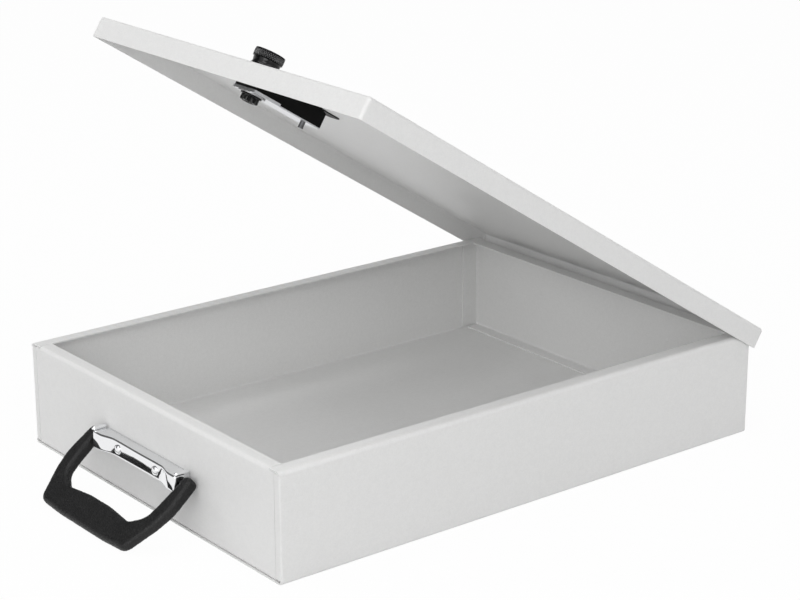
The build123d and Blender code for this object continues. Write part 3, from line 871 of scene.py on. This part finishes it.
@dataclass
class SubAssembly:
    """Something of the box that carries CAD nodes and may add its own pieces."""

    frame: dict
    finishes: Finishes

    def node(self, name: str) -> bpy.types.Object:
        """The CAD object of a node."""
        return self.frame["nodes"][name]

    def dress(self, finish: Finish, *names: str, edge: float = 0.0) -> None:
        """Finishes CAD nodes, with a small bevel where asked.

        Args:
            finish: what covers them.
            *names: the nodes.
            edge: width in metres of the bevel on sharp edges, or none.
        """
        for name in names:
            obj = self.node(name)
            self.finishes.put(obj, finish)
            if edge:
                bevel = obj.modifiers.new("edge", "BEVEL")
                bevel.width = edge
                bevel.segments = 2
                bevel.limit_method = "ANGLE"
                bevel.angle_limit = math.radians(40.0)
                bevel.harden_normals = True
            self.report(name, finish)

    def joint(self, name: str) -> tuple[Vector, Vector]:
        """Place in metres and direction of a joint's axis.

        Args:
            name: the joint's name.

        Returns:
            A point on the axis and its direction.
        """
        found = next(joint for joint in self.frame["joints"] if joint["name"] == name)
        return Vector(found["pos_m"]), Vector(found["axis"])

    def stand_for(self, obj: bpy.types.Object, body: Body, slot: str, finish: Finish, *nodes: str) -> None:
        """Finishes a new piece, fixes it to its body and hides what it replaces.

        Args:
            obj: the piece.
            body: the body that carries it.
            slot: the record's material slot; not used.
            finish: what covers it.
            *nodes: CAD nodes that it stands for.
        """
        self.finishes.put(obj, finish)
        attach(obj, body.value)
        if nodes:
            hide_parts(*nodes)
        self.report(obj.name, finish)

    def report(self, name: str, finish: Finish) -> None:
        """Logs one piece."""
        LOG.info("%s: %s", name, finish.name)


class Tray(SubAssembly):
    """The tray's sheets and the hinge's fixed leaf."""

    def build(self) -> None:
        """Finishes the tray's nodes."""
        self.dress(Finishes.COAT, "tray_shell", "front_panel", "back_panel", edge=0.00032)
        self.dress(Finishes.COAT, "hinge_leaf_tray", "hinge_leaf_rivets", edge=0.0001)
        self.dress(Finishes.STEEL, "hinge_pin", "rivet_washers")


@dataclass
class Handle(SubAssembly):
    """Bracket, rivets, pins and grip; lengths in millimetres, angles in degrees."""

    corner_round: float = 1.6
    top_round: float = 1.15
    low_round: float = 0.9
    crown: float = 0.2
    crown_reach: float = 0.5
    crown_run: float = 15.0
    crown_rise: float = 0.18
    crown_rise_from: float = 4.5
    sheet: float = 1.0
    web_steps: int = 36
    ear_steps: int = 5
    flare_start: float = 22.0
    flare_end: float = 33.0
    mid_set_back: float = 2.4
    bead_radius: float = 1.2
    bead_out: float = 0.95
    bead_up: float = 0.85
    bead_front_gap: float = 0.4
    bead_wall_gap: float = 0.6
    bead_steps: int = 20
    rivet_radius: float = 2.6
    rivet_dome: float = 1.3
    rivet_land: float = 0.5
    rivet_steps: int = 40
    palm_share: float = 0.8
    grain_voxel: float = 0.45
    grain_relief: float = 0.12
    grain_cell: float = 1.5
    crease_width: float = 0.35
    wrinkle_side: float = 24.0
    wrinkle_low: float = 27.0
    wrinkle_step: float = 6.0
    wrinkle_rise: tuple[float, float] = (0.0, 18.0)
    wrinkle_fall: tuple[float, float] = (75.0, 100.0)
    wrinkle_start: tuple[float, float] = (2.0, 6.0)
    wrinkle_end: tuple[float, float] = (13.0, 18.0)
    wrinkle_relief: float = 0.16

    def build(self) -> None:
        """Builds the handle's pieces and finishes its nodes."""
        self.stand_for(self.bracket(), Body.TRAY, "chrome", Finishes.CHROME, "handle_bracket")
        self.stand_for(self.beads(), Body.TRAY, "chrome", Finishes.CHROME)
        self.stand_for(self.rivets(), Body.TRAY, "chrome", Finishes.CHROME, "handle_rivets")
        self.dress(Finishes.STEEL, "handle_pins", "handle_core")
        self.stand_for(self.grip(), Body.HANDLE, "grip_plastic", Finishes.GRIP, "handle_grip")

    @property
    def wall(self) -> Place:
        """Local frame on the front wall below the bracket: X right, Y into the tray, Z up."""
        low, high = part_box("handle_bracket")
        return Place(Vector((0, high[1], low[2])), Vector((1, 0, 0)), Vector((0, 0, 1)))

    def front_line(self, half: float, deep: float) -> list[tuple[Vector, Vector]]:
        """The bracket's outline in plan, from the wall round the front and back.

        Args:
            half: half the bracket's width.
            deep: its depth at the ears.

        Returns:
            Points with their outward directions.
        """
        turn, inner = self.corner_round, half - self.corner_round
        depths = [deep * (1 - i / self.ear_steps) for i in range(self.ear_steps, 0, -1)]
        ear = [(half, -away) for away in depths if away < deep - turn]
        ear += arc((inner, turn - deep), turn, 0, -90, 6)
        middle = [inner - 2 * inner * i / self.web_steps for i in range(1, self.web_steps)]
        line = ear + [(x, -self.depth(x, deep)) for x in middle] + [(-x, y) for x, y in reversed(ear)]
        return with_normals(line)

    def depth(self, x: float, deep: float) -> float:
        """How far the web stands off the wall at a place along it."""
        return deep - self.mid_set_back * (1 - ease(self.flare_start, self.flare_end, abs(x)))

    def section(self, x: float, tall: float) -> Profile:
        """Section of the web, whose crown reaches furthest down at the left and least in the middle.

        Args:
            x: a place along the bracket.
            tall: the bracket's height.

        Returns:
            (inset, height) pairs from the top bend to the lower one.
        """
        top, under = self.top_round, self.low_round
        reach = 1 - (1 - self.crown_reach) * ease(-self.crown_run, 0.0, x)
        reach += self.crown_rise * ease(self.crown_rise_from, self.crown_run, x)
        stretch = tall - top - under
        tilt = math.degrees(math.atan(2 * self.crown / (self.crown_reach * stretch)))
        crown = self.crown * reach / self.crown_reach
        middle = crown + top * math.cos(math.radians(tilt))
        profile = [(middle - o, tall - top + z) for o, z in arc((0, 0), top, 90, tilt, 8)]
        start = profile[-1][1]
        steps = 12
        for i in range(1, steps):
            share = i / steps
            profile.append((crown * max(0.0, 1 - share / reach) ** 2, start - (start - under) * share))
        return profile + [(under - o, under + z) for o, z in arc((0, 0), under, 0, -90, 5)]

    def bracket(self) -> bpy.types.Object:
        """Pressed channel whose web is crowned in height and drawn in between the rivets.

        Returns:
            The bracket's object.
        """
        place = self.wall
        low, high = place.span(self.node("handle_bracket"))
        half, deep, tall = high.x, -low.y, high.z
        columns = [(point, out, self.section(point.x, tall)) for point, out in self.front_line(half, deep)]
        skin = Skin(place)
        skin.loft([
            skin.ring(p - out * cut[k][0] + Vector((0, 0, cut[k][1])) for p, out, cut in columns)
            for k in range(len(columns[0][2]))
        ], closed=False)
        obj = skin.finish("pressed_bracket", crease=50.0)
        shell = obj.modifiers.new("sheet", "SOLIDIFY")
        shell.thickness = self.sheet * MM
        shell.offset = -1.0
        return obj

    def beads(self) -> bpy.types.Object:
        """Rolled top edges of the two ears.

        Returns:
            The object with both beads.
        """
        place = self.wall
        low, high = place.span(self.node("handle_bracket"))
        radius = self.bead_radius
        near, far = low.y + self.bead_front_gap, -self.bead_wall_gap
        nose = arc((near + radius, 0), radius, 180, 90, 5)
        tail = arc((far - radius, 0), radius, 90, 0, 5)
        skin = Skin(place)
        for side in (-1, 1):
            middle = side * (high.x - radius + self.bead_out)
            rows = []
            for y, reach in nose[1:] + tail[:-1]:
                ring = arc((middle, high.z + self.bead_up), reach, 0, 360, self.bead_steps)[:-1]
                rows.append(skin.ring(Vector((x, y, z)) for x, z in ring))
            skin.loft(rows)
        return skin.finish("bracket_beads", crease=50.0)

    def rivets(self) -> bpy.types.Object:
        """Two rivets with a turned collar under the dome and a set tail inside the wall.

        Returns:
            The object with both rivets.
        """
        place = self.wall
        low, high = place.span(self.node("handle_rivets"))
        rim, head, end = self.rivet_radius, -low.y, -high.y
        centre, seat = (low.z + high.z) / 2, head - self.rivet_dome
        ball = (rim ** 2 + self.rivet_dome ** 2) / (2 * self.rivet_dome)
        spread = math.degrees(math.asin((rim - self.rivet_land) / ball))
        profile = arc((0, head - ball), ball, 90, 90 - spread, 8)[1:]
        profile += [(rim - inset, seat + up) for inset, up in RIVET_COLLAR]
        profile += [(rim - inset, end + up) for inset, up in RIVET_TAIL]
        skin = Skin(place)
        for side in (-1, 1):
            origin = place.out @ Vector((side * (high.x - rim), 0, centre))
            skin.place = Place(origin, Vector((1, 0, 0)), Vector((0, -1, 0)))
            skin.lathe(profile, self.rivet_steps)
        return skin.finish("domed_rivets", crease=30.0)

    @property
    def hanging(self) -> Place:
        """Local frame of the grip.

        Returns:
            The frame: origin on the pivot line, X right, Z from the palm to the pivot.
        """
        origin, axis = self.joint("handle_pivot")
        arms = [vert.co - origin for vert in self.node("handle_grip").data.vertices]
        for arm in arms:
            arm.x = 0.0
        longest = max(arm.length for arm in arms)
        palm = sum((arm for arm in arms if arm.length > self.palm_share * longest), Vector())
        return Place(origin, -axis, -palm)

    def creases(self, point: Vector) -> float:
        """Depth of the leather grain and of the wrinkles round the corners.

        Args:
            point: a place on the grip, in millimetres in its own frame.

        Returns:
            How far the surface is sunk there, in millimetres.
        """
        near = noise.voronoi(point / self.grain_cell)[0]
        depth = self.grain_relief * (1 - ease(0.0, self.crease_width, near[1] - near[0]))
        down, out = -point.z - self.wrinkle_low, abs(point.x) - self.wrinkle_side
        angle, away = math.degrees(math.atan2(down, out)), math.hypot(down, out)
        shown = ease(*self.wrinkle_rise, angle) * (1 - ease(*self.wrinkle_fall, angle))
        shown *= ease(*self.wrinkle_start, away) * (1 - ease(*self.wrinkle_end, away))
        wave = (1 + math.cos(2 * math.pi * angle / self.wrinkle_step)) / 2
        return depth + self.wrinkle_relief * shown * wave

    def grip(self) -> bpy.types.Object:
        """Moulded grip with leather grain and the wrinkles at its corners in its surface.

        Returns:
            The grip's object.
        """
        obj = linked("grained_grip", self.node("handle_grip").data.copy())
        remesh = obj.modifiers.new("even", "REMESH")
        remesh.mode = "VOXEL"
        remesh.voxel_size = self.grain_voxel * MM
        depsgraph = bpy.context.evaluated_depsgraph_get()
        even = bpy.data.meshes.new_from_object(obj.evaluated_get(depsgraph))
        obj.modifiers.clear()
        obj.data = even
        place = self.hanging
        sunk = [vert.co - vert.normal * self.creases(place.into @ vert.co) * MM for vert in even.vertices]
        even.vertices.foreach_set("co", [value for point in sunk for value in point])
        even.update()
        for face in even.polygons:
            face.use_smooth = True
        return obj


class Lid(SubAssembly):
    """The lid's shell and its leaf of the hinge."""

    def build(self) -> None:
        """Finishes the lid's nodes."""
        self.dress(Finishes.COAT, "lid_shell", edge=0.0002)
        self.dress(Finishes.COAT, "hinge_leaf_lid", edge=0.0001)


@dataclass
class Lock(SubAssembly):
    """Knob, case, cover, nut and what moves inside; lengths in millimetres."""

    knurls: int = 36
    knurl_deep: float = 0.65
    knurl_rows: int = 26
    knurl_steps: int = 8
    knurl_fade: float = 0.3
    band_thick: float = 1.0
    band_sunk: float = 0.8
    head_tall: float = 4.5
    head_drop: float = 0.4
    knob_steps: int = 96
    top_bevel: float = 0.55
    top_belly: tuple[float, float] = (0.45, 0.3)
    low_bevel: float = 0.4
    under_in: float = 0.5
    waist: float = 7.0
    waist_from: float = 0.62
    waist_to: float = 0.6
    neck_top: float = 7.35
    neck_in: float = 0.4
    foot_lip: float = 1.0
    foot_thick: float = 0.5
    foot_rim: float = 0.2
    plug_bore: float = 4.5
    plug_deep: float = 5.6
    plug_chamfer: float = 0.3
    soft: float = 0.35
    hair: float = 0.05
    slit: float = 0.02
    lobes: int = 6
    lobe_deep: float = 1.0
    lobe_in: float = 1.0
    flange: float = 0.8
    flange_out: float = 1.0
    flange_round: float = 0.25
    flange_fillet: tuple[float, float] = (0.2, 0.3)
    nut_proud: float = 0.8
    nut_steps: int = 120
    lip_up: float = 1.5
    lip_thick: float = 0.5
    lip_turn: float = 2.4
    tongue_long: float = 13.0
    tongue_thick: float = 0.55
    tongue_in: float = 2.0
    tongue_turn: float = 4.5
    tongue_lap: float = 1.0
    tongue_soft: float = 0.25

    def build(self) -> None:
        """Builds the lock's own pieces and finishes its nodes."""
        self.stand_for(self.knob(), Body.KNOB, "black_plastic", Finishes.KNOB, "knob")
        # The band's paler, shinier finish is painted light on the knurl.
        self.stand_for(self.band(), Body.KNOB, "black_plastic", Finishes.KNURL_LIT)
        self.stand_for(self.nut(), Body.KNOB, "black_plastic", Finishes.KNOB, "spindle_nut")
        self.dress(Finishes.LACQUER, "lock_case", edge=0.00025)
        self.stand_for(self.tongue(), Body.LID, "black_paint", Finishes.LACQUER)
        self.dress(Finishes.ZINC, "lock_cover", edge=0.0001)
        # The lip's darker copy of the cover's zinc is painted shade.
        self.stand_for(self.lip(), Body.LID, "chrome", Finishes.DULL_SHADED_ZINC)
        self.dress(Finishes.STEEL, "case_rivets", "spindle", "bolt_cam", "latch_bolt", edge=0.0001)
        self.dress(Finishes.STEEL, "spindle_washer", "key_plug", edge=0.0001)
        self.dress(Finishes.DARK_STEEL, "cover_stud", edge=0.0003)

    @property
    def axle(self) -> Place:
        """Local frame of the knob: origin on the lid, Y towards the hinge, Z outwards along its axis."""
        origin, axis = self.joint("knob_turn")
        return Place(origin, Vector((1, 0, 0)), -axis)

    def widest(self, node: str) -> float:
        """Largest distance of a node from the knob's axis above its foot.

        Args:
            node: the node's name.

        Returns:
            The distance in millimetres.
        """
        place = self.axle
        low, high = place.span(self.node(node))
        points = (place.into @ vert.co for vert in self.node(node).data.vertices)
        return max(math.hypot(p.x, p.y) for p in points if p.z > (low.z + high.z) / 2)

    def head(self) -> tuple[float, float, float]:
        """Radius, lowest and highest place of the knob's knurled band."""
        top = self.axle.span(self.node("knob"))[1].z - self.head_drop
        return self.widest("knob"), top - self.head_tall + self.low_bevel, top - self.top_bevel

    def knob(self) -> bpy.types.Object:
        """Head on a waisted neck that flares to a thin foot, with a bore for the key plug.

        Returns:
            The knob's object.
        """
        place = self.axle
        low, high = place.span(self.node("knob"))
        radius, band_low, band_top = self.head()
        core, rim = radius - self.band_sunk * self.band_thick, radius - 2 * self.hair
        head_low, top, foot = band_low - self.low_bevel, band_top + self.top_bevel, low.z
        foot_radius, neck_low = high.x + self.foot_lip, foot + self.foot_thick
        flare, rise = foot_radius - self.neck_in - self.waist, head_low - foot - self.foot_thick
        steps = 14
        neck = []
        for i in range(1, steps + 1):
            share = i / steps
            reach = self.waist + flare * (1 - ease(0.0, self.waist_from, share))
            reach += (self.neck_top - self.waist) * ease(self.waist_to, 1.0, share)
            neck.append((reach, neck_low + rise * share))
        profile = [
            (foot_radius, foot),
            (foot_radius, foot + self.foot_rim),
            (foot_radius - self.soft, neck_low),
            *neck,
            (radius - self.low_bevel - self.under_in, head_low + self.slit),
            (radius - self.low_bevel, head_low + self.hair),
            (rim, band_low - self.hair),
            (core, band_low + self.slit),
            (core, band_top - self.slit),
            (rim, band_top + self.hair),
            (radius - self.top_bevel * self.top_belly[0], top - self.top_bevel * self.top_belly[1]),
            (radius - self.top_bevel, top - 2 * self.slit),
            (radius - self.top_bevel - self.soft, top),
            (self.plug_bore + self.soft, top),
            (self.plug_bore, top - self.plug_chamfer),
            (self.plug_bore, top - self.plug_deep),
        ]
        skin = Skin(place)
        skin.lathe(profile, self.knob_steps)
        return skin.finish("turned_knob", crease=40.0)

    def band(self) -> bpy.types.Object:
        """Diamond-knurled sleeve round the knob's head.

        Returns:
            The sleeve's object.
        """
        radius, low, high = self.head()
        inner, edge = radius - self.band_thick, radius - self.knurl_fade
        rows = [(radius, low + (high - low) * i / self.knurl_rows) for i in range(self.knurl_rows + 1)]
        profile = [(inner, low), (edge, low), *rows, (edge, high), (inner, high)]

        def knurled(reach: float, height: float, angle: float) -> float:
            """Cuts the diamond pattern into the outside.

            Args:
                reach: the plain radius.
                height: the height there.
                angle: the angle in radians.

            Returns:
                The radius with the pattern.
            """
            if reach < radius:
                return reach
            rise = (height - low) * self.knurls / (2 * math.pi * radius)
            turn = angle * self.knurls / (2 * math.pi)
            waves = [abs(2 * ((turn + side * rise) % 1.0) - 1) for side in (-1, 1)]
            shown = min(1.0, (height - low) / self.knurl_fade, (high - height) / self.knurl_fade)
            return reach - self.knurl_deep * (1 - min(waves) * max(0.0, shown))

        skin = Skin(self.axle)
        skin.lathe(profile, self.knurls * self.knurl_steps, knurled, hollow=True)
        return skin.finish("knurled_band", crease=40.0)

    def nut(self) -> bpy.types.Object:
        """Flanged nut with rounded lobes.

        Returns:
            The nut's object.
        """
        place = self.axle
        low, high = place.span(self.node("spindle_nut"))
        rim, soft = high.x, self.flange_round
        body = rim - self.flange_out
        under, crown = low.z - self.nut_proud, high.z - self.flange
        profile = [(body - inset, under + up) for inset, up in NUT_END] + [
            (body, crown - self.flange_fillet[1]),
            (body + self.flange_fillet[0], crown),
            (rim - soft, crown),
            (rim, crown + soft),
            (rim, high.z - soft),
            (rim - soft, high.z),
            (body - NUT_END[0][0], high.z),
        ]

        def lobed(reach: float, height: float, angle: float) -> float:
            """Cuts the grooves between the lobes into the body.

            Args:
                reach: the plain radius.
                height: the height there.
                angle: the angle in radians.

            Returns:
                The radius with the grooves.
            """
            if height >= crown or reach < body - self.lobe_in:
                return reach
            return reach - self.lobe_deep * (1 - abs(math.cos(self.lobes * angle / 2)))

        skin = Skin(place)
        skin.lathe(profile, self.nut_steps, lobed)
        return skin.finish("lobed_nut", crease=32.0)

    def lip(self) -> bpy.types.Object:
        """Edge of the cover, bent up round the front of the case.

        Returns:
            The lip's object.
        """
        place = self.axle
        low, high = place.span(self.node("lock_cover"))
        front = place.span(self.node("lock_case"))[0].y
        turn = self.lip_turn
        right = arc((high.x - turn, front + turn - self.lip_thick), turn, -90, -15, 8)
        line = [(-x, y) for x, y in reversed(right)] + right
        foot, top = Vector((0, 0, low.z)), Vector((0, 0, low.z + self.lip_up))
        skin = Skin(place)
        rows = []
        for point, inward in with_normals(line):
            inside = point + inward * self.lip_thick
            rows.append(skin.ring((point + foot, point + top, inside + top, inside + foot)))
        skin.loft(rows)
        return skin.finish("cover_lip", crease=40.0)

    def tongue(self) -> bpy.types.Object:
        """Flat tongue behind the case, by which it also lies against the lid.

        Returns:
            The tongue's object.
        """
        place = self.axle
        high = place.span(self.node("lock_case"))[1]
        half, back = high.x - self.tongue_in, high.y + self.tongue_long
        turn, thick, soft = self.tongue_turn, self.tongue_thick, self.tongue_soft
        right = [(half, high.y - self.tongue_lap)] + arc((half - turn, back - turn), turn, 0, 90, 8)
        line = with_normals(right + [(-x, y) for x, y in reversed(right)], closed=True)
        skin = Skin(place)
        skin.loft([
            skin.ring(point + inward * inset + Vector((0, 0, high.z - drop)) for point, inward in line)
            for inset, drop in ((0.0, self.slit), (0.0, thick - soft), (soft, thick))
        ])
        return skin.finish("case_tongue", crease=40.0)


def main() -> None:
    """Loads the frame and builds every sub-assembly."""
    logging.basicConfig(level=logging.INFO, format="%(name)s %(message)s")
    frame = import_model()
    Studio().build()
    finishes = Finishes()
    for kind in (Tray, Handle, Lid, Lock):
        kind(frame, finishes).build()


if __name__ == "__main__":
    main()
